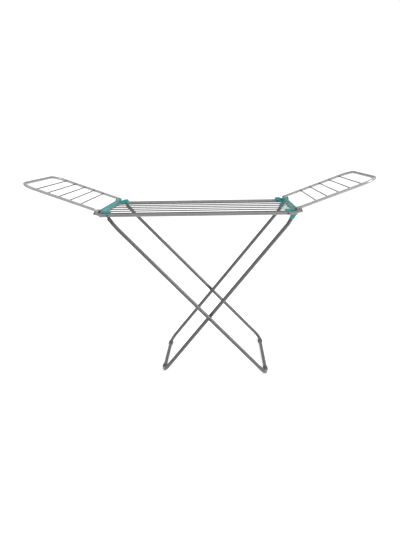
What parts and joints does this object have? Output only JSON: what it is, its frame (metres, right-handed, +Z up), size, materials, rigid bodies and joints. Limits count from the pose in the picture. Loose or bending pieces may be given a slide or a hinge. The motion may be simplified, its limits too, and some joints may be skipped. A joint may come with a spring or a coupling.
{
  "type": "folding clothes drying rack",
  "caption": "Free-standing folding clothes airer with a wired panel, raised wings and crossed leg frames that close.",
  "frame": {"origin": "on the floor, under the middle of the panel, at the centre of the feet's floor plane in depth", "axes": "+X along the rails and the long wires, from the riveted end to the hooked end; +Y across the rails; +Z up"},
  "size_m": [1.811, 0.574, 1.0737],
  "materials": {
    "grey_tube": "satin silver-grey powder coat on thin steel tube",
    "grey_wire": "satin grey coated wire",
    "teal_plastic": "semi-gloss moulded teal plastic",
    "grey_cap": "moulded dark grey end plug",
    "black_plastic": "moulded spacer",
    "rivet_steel": "dulled zinc-plated rivet",
    "foot_rubber": "matte dark grey rubber"
  },
  "bodies": {
    "panel": {"rail_front": "grey_tube", "rail_back": "grey_tube", "end_tube_left": "grey_tube", "end_tube_right": "grey_tube", "panel_wire_1": "grey_wire", "panel_wire_2": "grey_wire", "panel_wire_3": "grey_wire", "panel_wire_4": "grey_wire", "panel_wire_5": "grey_wire", "panel_wire_6": "grey_wire", "rail_cap_front_left": "grey_cap", "rail_cap_back_left": "grey_cap", "rail_cap_front_right": "grey_cap", "rail_cap_back_right": "grey_cap", "hinge_bracket_front_left": "teal_plastic", "hinge_bracket_back_left": "teal_plastic", "hinge_bracket_front_right": "teal_plastic", "hinge_bracket_back_right": "teal_plastic", "leg_hanger_front": "rivet_steel", "leg_hanger_back": "rivet_steel", "hinge_rod_left": "rivet_steel", "hinge_rod_right": "rivet_steel", "hinge_bar_left": "teal_plastic", "hinge_bar_right": "teal_plastic", "hinge_rod_caps": "rivet_steel", "bracket_rivets": "rivet_steel", "leg_pivot_rivets": "rivet_steel"},
    "outer_legs": {"leg_frame_outer": "grey_tube", "cross_spacer_front": "black_plastic", "cross_spacer_back": "black_plastic", "cross_rivets": "rivet_steel", "foot_outer_front": "foot_rubber", "foot_outer_back": "foot_rubber"},
    "inner_legs": {"leg_frame_inner": "grey_tube", "leg_hook_front": "teal_plastic", "leg_hook_back": "teal_plastic", "hook_rivets": "rivet_steel", "foot_inner_front": "foot_rubber", "foot_inner_back": "foot_rubber"},
    "left_wing": {"wing_frame_left": "grey_tube", "wing_wire_left_1": "grey_wire", "wing_wire_left_2": "grey_wire", "wing_wire_left_3": "grey_wire", "wing_wire_left_4": "grey_wire", "wing_wire_left_5": "grey_wire"},
    "right_wing": {"wing_frame_right": "grey_tube", "wing_wire_right_1": "grey_wire", "wing_wire_right_2": "grey_wire", "wing_wire_right_3": "grey_wire", "wing_wire_right_4": "grey_wire", "wing_wire_right_5": "grey_wire"}
  },
  "joints": [
    {"name": "outer_leg_fold", "type": "hinge", "parent": "panel", "child": "outer_legs", "pos_m": [-0.455, 0, 0.88], "axis": [0, 1, 0], "range_deg": [0, 41]},
    {"name": "leg_cross_fold", "type": "hinge", "parent": "outer_legs", "child": "inner_legs", "pos_m": [0.05582, 0, 0.33596], "axis": [0, -1, 0], "range_deg": [0, 82]},
    {"name": "left_wing_fold", "type": "hinge", "parent": "panel", "child": "left_wing", "pos_m": [-0.5, 0, 0.921], "axis": [0, 1, 0], "range_deg": [0, 160]},
    {"name": "right_wing_fold", "type": "hinge", "parent": "panel", "child": "right_wing", "pos_m": [0.5, 0, 0.921], "axis": [0, -1, 0], "range_deg": [0, 160]}
  ],
  "couplings": [
    {"joint": "leg_cross_fold", "follows": "outer_leg_fold", "ratio": 2}
  ]
}
